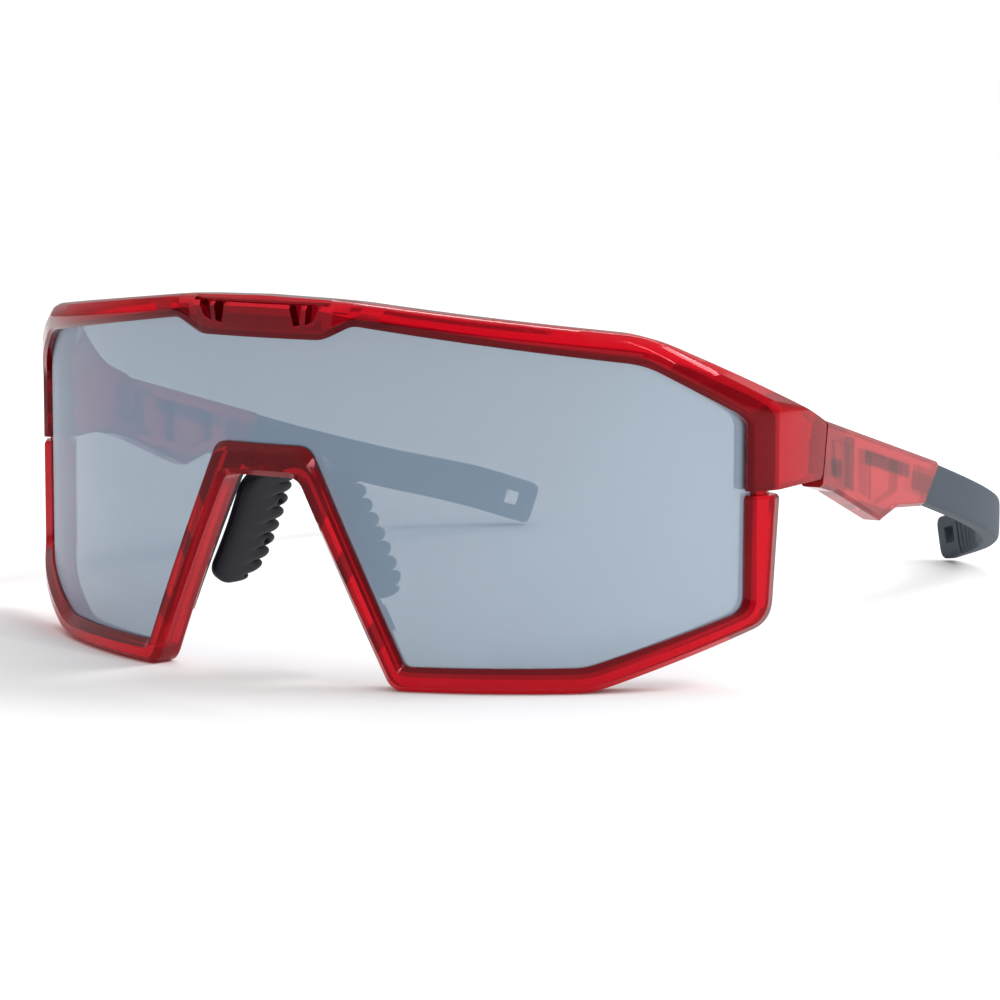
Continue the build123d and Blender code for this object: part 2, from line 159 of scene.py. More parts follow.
lens_radius = 0.083
frame_front = 0.0026  # the front face and the back face, over the lens radius
frame_back = -0.0030
groove_half = 0.00103  # half the width of the lens groove, and its depth
groove_depth = 0.0013
rear_lip = 0.20  # the share of its width by which the frame stands back from the opening behind
split_height = 0.0315  # where the two halves of the frame meet, and the gap between them
split_gap = 0.0008
opening_x, opening_z = 0.0686, 0.0437  # the side corner of the opening under the brow
outline_x, outline_z = 0.0739, 0.0458  # the same corner of the outline
# corners of the opening and of the outline from the middle to the side, X and Z
opening_run = [(0.0, 0.0566), (0.0114, 0.0566), (0.0165, 0.0591), (0.0572, 0.0530), (opening_x, opening_z)]
brow_run = [
    (0.0, 0.06339), (0.0116, 0.0631), (0.0185, 0.0627), (0.0598, 0.0576), (outline_x, outline_z)
]


def on_cylinder(s, z, r):
    """X, Y and Z of a point an arc s along the lens radius, at height z, at radius r:
    the arc gives an angle about the lens's axis, and the radius is measured from that axis."""
    angle = s / lens_radius
    return np.stack([r * np.sin(angle), lens_radius - r * np.cos(angle) + front_shift, z], -1)


def arc_of(x, radius):
    """The arc along the lens radius to the point with this X at another radius."""
    return lens_radius * np.arcsin(np.asarray(x) / radius)


def arc_and_radius(x, y):
    """The arc and the radius, about the lens's axis, of a point given by X and Y."""
    x, y = np.asarray(x), np.asarray(y)
    return lens_radius * np.arctan2(x, lens_radius - y), np.hypot(x, lens_radius - y)


def rounded_run(corners, cuts, around=9, along=16):
    """Lines carried along a run of corners and rounded at each: corners has (corner, line, 3).
    A corner is a quadratic curve between the points one cut before and after it; between
    corners the line is straight in arc, height and radius."""
    step = np.diff(corners, axis=0)
    length = np.linalg.norm(step[..., :2], axis=-1, keepdims=True) + 1e-9
    way = step / length
    cut = cuts[..., None]
    before = np.concatenate([corners[:1], corners[1:] - way * np.minimum(cut[1:], length * 0.48)])
    after = np.concatenate([corners[:-1] + way * np.minimum(cut[:-1], length * 0.48), corners[-1:]])
    t = np.linspace(0, 1, around)[:, None, None]
    bend = (1 - t) ** 2 * before[:, None] + 2 * t * (1 - t) * corners[:, None] + t**2 * after[:, None]
    u = np.linspace(0, 1, along + 2)[1:-1, None, None]
    straight = after[:-1, None] * (1 - u) + before[1:, None] * u
    pieces = np.concatenate([bend[:-1], straight], axis=1)
    pieces = pieces.reshape(-1, *corners.shape[1:])
    return np.concatenate([pieces, bend[-1]])


def shell_faces(rows, lines):
    """Faces of a tube whose rings have this many lines, closed round and capped at both ends."""
    index = np.arange(rows * lines).reshape(rows, lines)
    turned = np.roll(index, -1, axis=1)
    quads = np.stack([index[:-1], index[1:], turned[1:], turned[:-1]], -1).reshape(-1, 4)
    return quads.tolist() + [index[0].tolist(), index[-1][::-1].tolist()]


def make_piece(name, points, faces, tone=None, smooth=True):
    """A mesh object at the origin from points in metres and faces, its normals turned outwards;
    tone, where given, is a number for each face that its material reads."""
    mesh = bpy.data.meshes.new(name)
    mesh.from_pydata(np.asarray(points).reshape(-1, 3).tolist(), [], faces)
    if tone is not None:
        layer = mesh.attributes.new("tone", "FLOAT", "FACE")
        layer.data.foreach_set("value", np.asarray(tone, dtype=np.float32))
    tool = bmesh.new()
    tool.from_mesh(mesh)
    bmesh.ops.recalc_face_normals(tool, faces=tool.faces)
    tool.to_mesh(mesh)
    tool.free()
    mesh.polygons.foreach_set("use_smooth", [smooth] * len(mesh.polygons))
    thing = bpy.data.objects.new(name, mesh)
    bpy.context.scene.collection.objects.link(thing)
    return thing


def soften(thing, width, angle=24):
    """Rounds a piece's sharp edges by a width in metres and shades the rest smooth."""
    bevel = thing.modifiers.new("edges", "BEVEL")
    bevel.width = width
    bevel.segments = 2
    bevel.limit_method = "ANGLE"
    bevel.angle_limit = math.radians(angle)
    bevel.harden_normals = True
    bevel.use_clamp_overlap = True


def rim_points(inner, outer, profile, cut_inner, cut_outer):
    """A rim's section carried along its opening. inner and outer are arcs and heights of the
    corners at the opening and at the outline; profile gives, for each corner and line, the
    share of the way from one to the other and the height above the lens radius."""
    share = profile[..., 0:1]
    flat = inner[:, None] * (1 - share) + outer[:, None] * share
    corners = np.concatenate([flat, lens_radius + profile[..., 1:2]], -1)
    cuts = cut_inner[:, None] * (1 - share[..., 0]) + cut_outer[:, None] * share[..., 0]
    return corners, cuts


def mirror_run(half):
    """A run of rows from the middle to the left side, with its mirror on the right side before it."""
    flipped = half[::-1].copy()
    flipped[..., 0] *= -1
    return np.concatenate([flipped[:-1], half])


def cut_with(thing, tool):
    """Takes one closed piece out of another and leaves plain faces."""
    cutter = thing.modifiers.new("cut", "BOOLEAN")
    cutter.operation = "DIFFERENCE"
    cutter.solver = "EXACT"
    cutter.object = tool
    bpy.context.view_layer.update()
    done = bpy.data.meshes.new_from_object(thing.evaluated_get(bpy.context.evaluated_depsgraph_get()))
    thing.modifiers.remove(cutter)
    old = thing.data
    thing.data = done
    bpy.data.meshes.remove(old)
    bpy.data.objects.remove(tool)


def curved_bar(name, span, section):
    """A closed bar bent round the lens's axis: a section of heights and radii over the lens's
    is carried along the arc from one end of the span to the other."""
    s = np.linspace(*span, 24)[:, None]
    section = np.asarray(section)
    points = on_cylinder(s + 0 * section[:, 0], section[:, 0] + 0 * s, lens_radius + section[:, 1] + 0 * s)
    return make_piece(name, points, shell_faces(24, len(section)), smooth=False)


temple_slope = 0.251  # how far a temple's top edge falls for each unit of Y


def thin_and_lit_share(tree, where, spots):
    """How thin and how lit the plastic is painted at a place along a temple: 0.9, less the weight of each
    spot, which paints thicker plastic and painted shade. A spot is a range along Y and a range of height
    over a line that falls as the temple's top edge does, with its edges feathered."""
    feather = 0.0004

    def joined(kind, first, second, third=None):
        node = tree.nodes.new("ShaderNodeMath")
        node.operation = kind
        for socket, value in zip(node.inputs, (first, second, third)):
            if isinstance(value, float):
                socket.default_value = value
            elif value is not None:
                tree.links.new(value, socket)
        return node.outputs[0]

    def step(value, edge, rise):
        node = tree.nodes.new("ShaderNodeMapRange")
        node.interpolation_type = "SMOOTHSTEP"
        node.inputs["From Min"].default_value = edge - feather
        node.inputs["From Max"].default_value = edge + feather
        node.inputs["To Min"].default_value = 1.0 - rise
        node.inputs["To Max"].default_value = rise
        tree.links.new(value, node.inputs["Value"])
        return node.outputs["Result"]

    parts = tree.nodes.new("ShaderNodeSeparateXYZ")
    tree.links.new(where.outputs["Object"], parts.inputs[0])
    height = joined("MULTIPLY_ADD", parts.outputs["Y"], temple_slope, parts.outputs["Z"])
    share = None
    # each spot paints the temple darker: thicker plastic and painted shade
    for (y_low, y_high), (low, high), weight in spots:
        past, short = step(parts.outputs["Y"], y_low, 1.0), step(parts.outputs["Y"], y_high, 0.0)
        level = joined("MULTIPLY", step(height, low, 1.0), step(height, high, 0.0))
        inside = joined("MULTIPLY", joined("MULTIPLY", past, short), level)
        share = joined("MULTIPLY_ADD", inside, -weight, share if share is not None else 0.9)
    return share


def clear_red(name, thin, thick, see_through, roughness=0.06, thick_and_shaded_spots=()):
    """Clear red plastic: a body colour between a thin red in painted light and a thick red in painted
    shade, by the piece's tone, so the tone paints light and shade as well as thickness, with a slow
    unevenness of the moulding, faint flow marks in the gloss and rubbed spots. Where spots of thickness
    and painted shade are given, they set the tone instead."""
    material = bpy.data.materials.new(name)
    material.use_nodes = True
    tree = material.node_tree
    link = tree.links.new
    shader = tree.nodes["Principled BSDF"]
    where = tree.nodes.new("ShaderNodeTexCoord")
    tone = tree.nodes.new("ShaderNodeAttribute")
    tone.attribute_name = "tone"
    cloud = tree.nodes.new("ShaderNodeTexNoise")
    cloud.inputs["Scale"].default_value = 55.0
    cloud.inputs["Detail"].default_value = 2.0
    link(where.outputs["Object"], cloud.inputs["Vector"])
    sway = tree.nodes.new("ShaderNodeMath")
    sway.operation = "MULTIPLY_ADD"
    sway.inputs[1].default_value = 0.22
    link(cloud.outputs["Fac"], sway.inputs[0])
    lower = tree.nodes.new("ShaderNodeMath")
    lower.operation = "SUBTRACT"
    lower.inputs[1].default_value = 0.11
    link(tone.outputs["Fac"], lower.inputs[0])
    if thick_and_shaded_spots:
        link(thin_and_lit_share(tree, where, thick_and_shaded_spots), lower.inputs[0])
    link(lower.outputs[0], sway.inputs[2])
    # the ramp paints the tone: its thick end is the red in painted shade, its thin end the red in painted
    # light
    ramp = tree.nodes.new("ShaderNodeValToRGB")
    ramp.color_ramp.elements[0].color = (*thick, 1)
    ramp.color_ramp.elements[1].color = (*thin, 1)
    link(sway.outputs[0], ramp.inputs["Fac"])
    link(ramp.outputs["Color"], shader.inputs["Base Color"])
    smear = tree.nodes.new("ShaderNodeTexNoise")
    smear.inputs["Scale"].default_value = 320.0
    smear.inputs["Detail"].default_value = 3.0
    link(where.outputs["Object"], smear.inputs["Vector"])
    gloss = tree.nodes.new("ShaderNodeMapRange")
    gloss.inputs["From Min"].default_value = 0.35
    gloss.inputs["From Max"].default_value = 0.75
    gloss.inputs["To Min"].default_value = roughness
    gloss.inputs["To Max"].default_value = roughness + 0.06
    link(smear.outputs["Fac"], gloss.inputs["Value"])
    link(gloss.outputs["Result"], shader.inputs["Roughness"])
    bump = tree.nodes.new("ShaderNodeBump")
    bump.inputs["Strength"].default_value = 0.04
    bump.inputs["Distance"].default_value = 0.0002
    link(cloud.outputs["Fac"], bump.inputs["Height"])
    link(bump.outputs["Normal"], shader.inputs["Normal"])
    shader.inputs["IOR"].default_value = 1.52
    shader.inputs["Transmission Weight"].default_value = see_through
    shader.inputs["Specular IOR Level"].default_value = 0.13
    shader.inputs["Specular Tint"].default_value = (1.0, 0.30, 0.34, 1)
    return material


def sheet_of(pairs, radius):
    """Corners given by X at a radius and by height, as arcs and heights."""
    pairs = np.asarray(pairs)
    return np.stack([arc_of(pairs[:, 0], radius), pairs[:, 1]], -1)


front_red = clear_red("clear_red_front", (0.86, 0.003, 0.016), (0.17, 0.001, 0.005), 0.72)

brow_inner = sheet_of(opening_run, lens_radius)
brow_outer = sheet_of(brow_run, lens_radius + frame_front)


def brow_section(ridge, width, lip=0.10, top=0.90):
    """One section of the brow, as shares of its width and radii over the lens's: the inner
    edge and lip, the ridge between the two front facets, the top, the back and the groove."""
    deep = groove_depth / width
    return [
        (0, groove_half), (0, 0.0019), (lip, 0.0024), (ridge, frame_front), (top, 0.0017),
        (1.0, 0.0009), (1.0, -0.0026), (0.93, frame_back), (rear_lip + 0.06, frame_back),
        (rear_lip, -0.0027), (rear_lip, -groove_half), (deep, -groove_half), (deep, groove_half),
    ]


# the section at each corner, from the middle to the side
brow_profile = np.array([
    brow_section(0.74, 0.0067),
    brow_section(0.74, 0.0067),
    brow_section(0.34, 0.0042, 0.12),
    brow_section(0.50, 0.0053, 0.12),
    brow_section(0.80, 0.0053, 0.14),
])
corners, cuts = rim_points(
    brow_inner, brow_outer, brow_profile,
    np.array([0, 0.0012, 0.0012, 0.0030, 0.0030]), np.array([0, 0.0020, 0.0020, 0.0045, 0.0030]),
)


def end_piece_row(opening_height, front_height, rear_y, rear_height):
    """A row of the section where it runs back as the end piece: its lip and front facet keep
    the brow's shape, and the outside goes straight back to rear_y, round and forward again."""
    s_in, s_out = arc_of(opening_x, lens_radius), arc_of(outline_x, lens_radius + frame_front)
    width = s_out - s_in
    deep = groove_depth / width

    def across(share, radius, height_share):
        height = opening_height + (front_height - opening_height) * height_share
        return (s_in + width * share, height, lens_radius + radius)

    def behind(x, y, height):
        s, r = arc_and_radius(x, y)
        return (float(s), height, float(r))

    return [
        across(0, groove_half, 0), across(0, 0.0019, 0), across(0.14, frame_front, 0.14),
        across(0.80, frame_front, 0.80), behind(0.0737, 0.0402, front_height),
        behind(0.0742, rear_y, rear_height), behind(0.0672, rear_y, rear_height),
        behind(0.0672, 0.0450, rear_height * 0.5 + front_height * 0.5),
        across(0.06, frame_back, 0.06), across(0, -0.0027, 0), across(0, -groove_half, 0),
        across(deep, -groove_half, deep), across(deep, groove_half, deep),
    ]


corners[-1] = np.array(end_piece_row(opening_z, outline_z, 0.0495, 0.0442))
foot = split_height + split_gap / 2
low_rows = np.array([
    end_piece_row(0.0405, 0.0410, 0.0569, 0.0412),
    end_piece_row(foot + 0.0008, foot + 0.0008, 0.0555, 0.0327),
    end_piece_row(foot, foot, 0.0545, 0.0319),
])
low_cuts = np.array([[0.0012] * 13, [0.0] * 13, [0.0] * 13])
half_corners = np.concatenate([corners, low_rows])
half_cuts = np.concatenate([cuts, low_cuts])
half_cuts[4] = np.array([0.003, 0.003, 0.003, 0.0055, 0.002] + [0.0015] * 3 + [0.003] * 5)
run = rounded_run(mirror_run(half_corners), np.concatenate([half_cuts[::-1][:-1], half_cuts]))
faces = shell_faces(*run.shape[:2])
# tone at each line of the section, 0 thick to 1 thin: the plastic's thickness, and painted light and shade
# by the way each facet faces
line_tone = np.array([0.05, 0.12, 0.30, 0.85, 0.55, 0.30, 0.5, 0.5, 0.5, 0.3, 0.2, 0.2, 0.2])
row_tone = np.tile(line_tone, (run.shape[0] - 1, 1))
in_middle = np.abs(run[:-1, :, 0]).mean(axis=1) < 0.022
row_tone[in_middle, 2] = 0.0  # the deep middle of the brow is the thickest, and its lower facet is painted darkest as painted shade
# elsewhere the lower facet gets a lighter painted shade
row_tone[~in_middle, 2] = 0.22
tone = np.concatenate([row_tone.reshape(-1), [0.6, 0.6]])
upper_frame = make_piece(
    "upper_frame_shell", on_cylinder(run[..., 0], run[..., 1], run[..., 2]), faces, tone
)
# the groove over the brow's ledge, and two blind vents at each end of it; their cut faces carry no tone,
# so they take the darkest red as painted shade inside them
ledge_groove = curved_bar("groove_cutter", (-0.0128, 0.0128), [
    (0.06212, 0.0009), (0.06258, 0.0009), (0.06285, 0.0060), (0.06215, 0.0060)])
cut_with(upper_frame, ledge_groove)
vent_outlines = [
    [(0.0060, 0.0621), (0.0082, 0.0621), (0.0079, 0.0590), (0.0068, 0.0587)],
    [(0.0091, 0.0621), (0.0116, 0.0623), (0.0103, 0.0597), (0.0088, 0.0590)],
]
vent_floor, vent_mouth = lens_radius + 0.0003, lens_radius + 0.006
for side in (1, -1):
    for vent in np.array(vent_outlines):
        rings = np.stack([on_cylinder(side * vent[:, 0], vent[:, 1], r) for r in (vent_floor, vent_mouth)])
        cut_with(upper_frame, make_piece("vent_cutter", rings, shell_faces(2, 4), smooth=False))
upper_frame.data.materials.append(front_red)
soften(upper_frame, 0.00018, 36)
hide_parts("upper_frame")
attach(upper_frame, "front")


# ---- Lower frame ----
# The second clear red moulding: bottom rim, lower side bars and the nose arch in one piece.
# It clips up into the upper frame with a neck at each side, and its section is the same lip,
# front facet and bevel, narrower.

bar_top = split_height - split_gap / 2
# corners of the opening and of the outline from the middle to the top of the side bar, X and Z
lower_opening = [
    (0.0, 0.0392), (0.0088, 0.0392), (0.02465, 0.0040), (0.0502, 0.0041), (opening_x, 0.0123),
    (opening_x, bar_top),
]
lower_outline = [
    (0.0, 0.0339), (0.0071, 0.0339), (0.0233, 0.0), (0.0526, 0.0), (0.0735, 0.0102), (0.0742, bar_top)
]


def rim_section(lip, facet, width):
    """One section of the lower rim, as shares of its width and radii over the lens's: the
    inner edge, the flat front between lip and facet, the outer bevel, the back and the groove."""
    deep = groove_depth / width
    return [
        (0, groove_half), (0, 0.0013), (lip, frame_front), (facet, frame_front), (1.0, 0.0014),
        (1.0, -0.0026), (0.93, frame_back), (rear_lip + 0.06, frame_back), (rear_lip, -0.0027),
        (rear_lip, -groove_half), (deep, -groove_half), (deep, groove_half),
    ]


rim_profile = np.array([
    rim_section(0.26, 0.80, 0.0053),
    rim_section(0.26, 0.80, 0.0053),
    rim_section(0.34, 0.76, 0.0045),
    rim_section(0.38, 0.74, 0.0041),
    rim_section(0.30, 0.70, 0.0045),
    rim_section(0.20, 0.74, 0.0050),
])
corners, cuts = rim_points(
    sheet_of(lower_opening, lens_radius), sheet_of(lower_outline, lens_radius + frame_front),
    rim_profile,
    np.array([0, 0.0020, 0.0010, 0.0020, 0.0025, 0]), np.array([0, 0.0018, 0.0022, 0.0035, 0.0035, 0]),
)
# the neck: the section drawn in at the top of the side bar, carried up into the upper frame
middle = corners[-1].mean(axis=0)
end_row = corners[-1].copy()
shoulder = end_row.copy()
shoulder[:, 1] -= 0.0006
rounded = middle + (end_row - middle) * np.array([0.90, 1, 0.90])
drawn_in = middle + (end_row - middle) * np.array([0.55, 1, 0.62])
neck_top = drawn_in.copy()
neck_top[:, 1] += 0.0016
corners = np.concatenate([corners[:-1], [shoulder, rounded, drawn_in, neck_top]])
cuts = np.concatenate([cuts[:-1], np.zeros((4, 12))])
run = rounded_run(mirror_run(corners), np.concatenate([cuts[::-1][:-1], cuts]))
faces = shell_faces(*run.shape[:2])
# tone at each line of the section, 0 thick to 1 thin: the plastic's thickness, and painted light and shade
# by the way each facet faces
line_tone = np.array([0.05, 0.28, 0.84, 0.92, 0.70, 0.6, 0.6, 0.5, 0.3, 0.2, 0.2, 0.2])
height, reach = run[:-1, :, 1].mean(axis=1), np.abs(run[:-1, :, 0]).mean(axis=1)
row_tone = np.tile(line_tone, (run.shape[0] - 1, 1))
row_tone[(reach > 0.070) & (height > 0.009), 3] = 0.0  # painted shade: the side bars' outer bevels are painted dark
# painted shade where the nose clip lies close behind the arch, and painted light in the windows of its
# legs
over_clip = (reach < 0.032) & (height > 0.0085)
window_rows = ((height > 0.0125) & (height < 0.0190)) | ((height > 0.0240) & (height < 0.0295))
row_tone[over_clip, 2] = np.where(window_rows[over_clip], 0.95, 0.10)
row_tone[over_clip, 1] = 0.25
row_tone[over_clip, 3] = 0.45
tone = np.concatenate([row_tone.reshape(-1), [0.6, 0.6]])
lower_frame = make_piece(
    "lower_frame_shell", on_cylinder(run[..., 0], run[..., 1], run[..., 2]), faces, tone
)
lower_frame.data.materials.append(front_red)
soften(lower_frame, 0.00022)
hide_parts("lower_frame")
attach(lower_frame, "front")


# ---- Lens ----
# One sheet of curved polycarbonate with a silver-blue mirror coat on the front, dark enough
# to hide most of what is behind it.

def mirror_coat(name):
    """A tinted mirror that lets a little through: its tint shifts slowly from side to side, and
    very fine waves and wiped marks break the reflections."""
    material = bpy.data.materials.new(name)
    material.use_nodes = True
    tree = material.node_tree
    link = tree.links.new
    shader = tree.nodes["Principled BSDF"]
    where = tree.nodes.new("ShaderNodeTexCoord")
    apart = tree.nodes.new("ShaderNodeSeparateXYZ")
    link(where.outputs["Object"], apart.inputs[0])
    side = tree.nodes.new("ShaderNodeMapRange")
    side.inputs["From Min"].default_value = -0.07
    side.inputs["From Max"].default_value = 0.07
    link(apart.outputs["X"], side.inputs["Value"])
    ramp = tree.nodes.new("ShaderNodeValToRGB")
    ramp.color_ramp.elements[0].color = (0.18, 0.255, 0.35, 1)
    ramp.color_ramp.elements[1].color = (0.27, 0.36, 0.455, 1)
    middle_stop = ramp.color_ramp.elements.new(0.25)
    middle_stop.color = (0.215, 0.29, 0.39, 1)
    link(side.outputs["Result"], ramp.inputs["Fac"])
    link(ramp.outputs["Color"], shader.inputs["Base Color"])
    wipe = tree.nodes.new("ShaderNodeTexNoise")
    wipe.inputs["Scale"].default_value = 90.0
    wipe.inputs["Detail"].default_value = 4.0
    link(where.outputs["Object"], wipe.inputs["Vector"])
    gloss = tree.nodes.new("ShaderNodeMapRange")
    gloss.inputs["To Min"].default_value = 0.32
    gloss.inputs["To Max"].default_value = 0.40
    link(wipe.outputs["Fac"], gloss.inputs["Value"])
    link(gloss.outputs["Result"], shader.inputs["Roughness"])
    shader.inputs["Metallic"].default_value = 0.85
    # only the front face is coated: it lies further than the lens radius from the axis
    from_axis = tree.nodes.new("ShaderNodeVectorMath")
    from_axis.operation = "DISTANCE"
    level_place = tree.nodes.new("ShaderNodeCombineXYZ")
    link(apart.outputs["X"], level_place.inputs["X"])
    link(apart.outputs["Y"], level_place.inputs["Y"])
    link(level_place.outputs[0], from_axis.inputs[0])
    from_axis.inputs[1].default_value = (0, lens_radius + front_shift, 0)
    coated = tree.nodes.new("ShaderNodeMapRange")
    coated.inputs["From Min"].default_value = lens_radius - 0.0001
    coated.inputs["From Max"].default_value = lens_radius + 0.0001
    coated.inputs["To Min"].default_value = 0.04
    coated.inputs["To Max"].default_value = 0.85
    link(from_axis.outputs["Value"], coated.inputs["Value"])
    link(coated.outputs["Result"], shader.inputs["Alpha"])
    return material


def dress(name, material):
    """Gives a node from the frame one material."""
    nodes[name].data.materials.clear()
    nodes[name].data.materials.append(material)


dress("lens", mirror_coat("mirror_coat"))


# ---- Temples, front sections ----
# Clear red arms that fold on the hinge screws. The inner side is cored out either side of a rib,
# and the rear end is a socket that the dark tongue of the temple core is pushed into.

top_height = 0.0411 + temple_slope * (0.0568 + front_shift)  # of the top edge, carried to Y = 0
temple_spots = [  # Y, depth under the top edge, and how much darker it is painted there, for thicker plastic and painted shade
    ((0.0560, 0.0642), (0.0150, -0.0010), 0.38),  # the knuckle
    ((0.0640, 0.0678), (0.0100, 0.0010), 0.75),  # the wall behind the knuckle
    ((0.0722, 0.0912), (0.0046, 0.0021), 0.75),  # a round bar under the top edge
    ((0.0585, 0.0628), (0.0085, 0.0055), 0.50),  # a small block beside the knuckle
    ((0.0690, 0.0860), (0.0128, 0.0112), 0.45),  # the lower wall of the pocket
    ((0.0925, 0.1050), (0.0070, 0.0030), 0.40),  # round the tongue
]
temple_spots = [
    ((y0 + front_shift, y1 + front_shift), (top_height - deep, top_height - shallow), weight)
    for (y0, y1), (deep, shallow), weight in temple_spots
]
temple_red = clear_red(
    "clear_red_temple", (0.66, 0.048, 0.056), (0.10, 0.012, 0.020), 0.62, 0.09, temple_spots
)
for side in ("left", "right"):
    dress("temple_" + side, temple_red)


# ---- Temple cores ----
# Dark nylon bars inside the rubber tips; their deeper front ends show through the red plastic.

def fine_plastic(name, colour, roughness, grain, depth):
    """A moulded plastic or metal of one colour with a fine eroded grain and uneven gloss."""
    material = bpy.data.materials.new(name)
    material.use_nodes = True
    tree = material.node_tree
    link = tree.links.new
    shader = tree.nodes["Principled BSDF"]
    where = tree.nodes.new("ShaderNodeTexCoord")
    spots = tree.nodes.new("ShaderNodeTexNoise")
    spots.inputs["Scale"].default_value = grain
    spots.inputs["Detail"].default_value = 3.0
    link(where.outputs["Object"], spots.inputs["Vector"])
    ramp = tree.nodes.new("ShaderNodeValToRGB")
    ramp.color_ramp.elements[0].color = (*[c * 0.75 for c in colour], 1)
    ramp.color_ramp.elements[1].color = (*[min(1, c * 1.2) for c in colour], 1)
    link(spots.outputs["Fac"], ramp.inputs["Fac"])
    link(ramp.outputs["Color"], shader.inputs["Base Color"])
    gloss = tree.nodes.new("ShaderNodeMapRange")
    gloss.inputs["To Min"].default_value = roughness - 0.08
    gloss.inputs["To Max"].default_value = roughness + 0.08
    link(spots.outputs["Fac"], gloss.inputs["Value"])
    link(gloss.outputs["Result"], shader.inputs["Roughness"])
    bump = tree.nodes.new("ShaderNodeBump")
    shader.inputs["Specular IOR Level"].default_value = 0.28
    bump.inputs["Strength"].default_value = 0.25
    bump.inputs["Distance"].default_value = depth
    link(spots.outputs["Fac"], bump.inputs["Height"])
    link(bump.outputs["Normal"], shader.inputs["Normal"])
    return material


core_nylon = fine_plastic("core_nylon", (0.035, 0.036, 0.045), 0.5, 1500.0, 0.00004)
for side in ("left", "right"):
    dress("temple_core_" + side, core_nylon)


# ---- Rubber temple tips ----
# Soft dark grey rubber moulded over the cores. The bar runs down and back, then hooks inwards
# behind the ear; near the end it has short grooves on the inner side and a square hole.

tip_stations = np.array([  # X, Y, Z of the middle, thickness, height
    (0.0720, 0.0930, 0.0281, 0.0042, 0.0076),
    (0.0719, 0.1040, 0.0252, 0.0040, 0.0076),
    (0.0708, 0.1210, 0.0207, 0.0037, 0.0077),
    (0.0689, 0.1360, 0.0167, 0.0036, 0.0079),
    (0.0659, 0.1490, 0.0132, 0.0036, 0.0082),
    (0.0620, 0.1580, 0.0108, 0.0037, 0.0084),
    (0.0563, 0.1664, 0.0081, 0.0039, 0.0087),
    (0.0469, 0.1738, 0.0043, 0.0041, 0.0085),
])
seam_low, seam_high = (0.0978, 0.0221), (0.1047, 0.0292)  # Y and Z of the slanting seam


def smooth_through(stations, count):
    """Rows along a smooth curve through the stations: a Catmull-Rom cubic between each pair,
    from the pair and its two neighbours. A third of them cover the first 0.78 of its length."""
    first, last = 2 * stations[:1] - stations[1:2], 2 * stations[-1:] - stations[-2:-1]
    ends = np.concatenate([first, stations, last])
    place = np.linspace(0, len(stations) - 1, 400)
    i = np.minimum(place.astype(int), len(stations) - 2)
    t = (place - i)[:, None]
    p0, p1, p2, p3 = ends[i], ends[i + 1], ends[i + 2], ends[i + 3]
    square, cube = 2 * p0 - 5 * p1 + 4 * p2 - p3, 3 * p1 - p0 - 3 * p2 + p3
    fine = 0.5 * (2 * p1 + (p2 - p0) * t + square * t**2 + cube * t**3)
    run = np.concatenate([[0], np.cumsum(np.linalg.norm(np.diff(fine[:, :3], axis=0), axis=1))])
    sparse = count // 3
    share = np.concatenate([np.linspace(0, 0.78, sparse), np.linspace(0.78, 1, count - sparse + 1)[1:]])
    even = run[-1] * share
    return np.stack([np.interp(even, run, fine[:, k]) for k in range(fine.shape[1])], -1), even


def tip_surface(rows=270, around=56):
    """The left tip: at each row a rounded rectangle (a superellipse of power 5) of the row's
    thickness and height, square to the path. The inner face is grooved near the end, and the
    last rows draw in to round the end off."""
    path, run = smooth_through(tip_stations, rows)
    middle = path[:, :3]
    along = np.gradient(middle, axis=0)
    along /= np.linalg.norm(along, axis=1, keepdims=True)
    through = np.stack([along[:, 1], -along[:, 0], 0 * run], -1)
    through /= np.linalg.norm(through, axis=1, keepdims=True)
    up = np.cross(through, along)
    turn = np.linspace(0, 2 * np.pi, around, endpoint=False)[None]
    power = 2 / 5.0
    wide = np.sign(np.cos(turn)) * np.abs(np.cos(turn)) ** power
    tall = np.sign(np.sin(turn)) * np.abs(np.sin(turn)) ** power
    from_end = (run[-1] - run)[:, None]
    draw = np.clip(from_end / 0.0012, 0, 1)
    draw = 0.72 + 0.28 * np.sqrt(1 - (1 - draw) ** 2)
    first, last, pitch, depth = 0.0078, 0.0186, 0.0018, 0.0006  # of the grooves, from the end
    grooved = (from_end > first) & (from_end < last) & (wide < -0.6)
    wave = np.abs(np.sin((from_end - first) / pitch * np.pi)) ** 0.5
    dent = np.where(grooved, depth * (1 - wave), 0.0)
    points = (
        middle[:, None] + through[:, None] * ((path[:, 3:4] / 2 * wide * draw + dent)[..., None])
        + up[:, None] * ((path[:, 4:5] / 2 * tall * draw)[..., None])
    )
    points[..., 1] += front_shift
    return points


def prism(name, outline, depth):
    """A closed bar: an outline of points carried along a depth vector."""
    outline = np.asarray(outline, float)
    rings = np.stack([outline, outline + np.asarray(depth)])
    return make_piece(name, rings, shell_faces(2, len(outline)), smooth=False)


def mirrored_piece(thing, name):
    """A copy of a finished piece with X turned over, faces still outwards."""
    mesh = thing.data.copy()
    place = np.empty(len(mesh.vertices) * 3)
    mesh.vertices.foreach_get("co", place)
    place[0::3] *= -1
    mesh.vertices.foreach_set("co", place)
    mesh.flip_normals()
    mesh.update()
    twin = bpy.data.objects.new(name, mesh)
    bpy.context.scene.collection.objects.link(twin)
    for modifier in thing.modifiers:
        same = twin.modifiers.new(modifier.name, modifier.type)
        if modifier.type == "BEVEL":
            for key in ("width", "segments", "limit_method", "angle_limit", "harden_normals"):
                setattr(same, key, getattr(modifier, key))
    return twin


tip_grid = tip_surface()
left_tip = make_piece("temple_tip_shell_left", tip_grid, shell_faces(*tip_grid.shape[:2]))
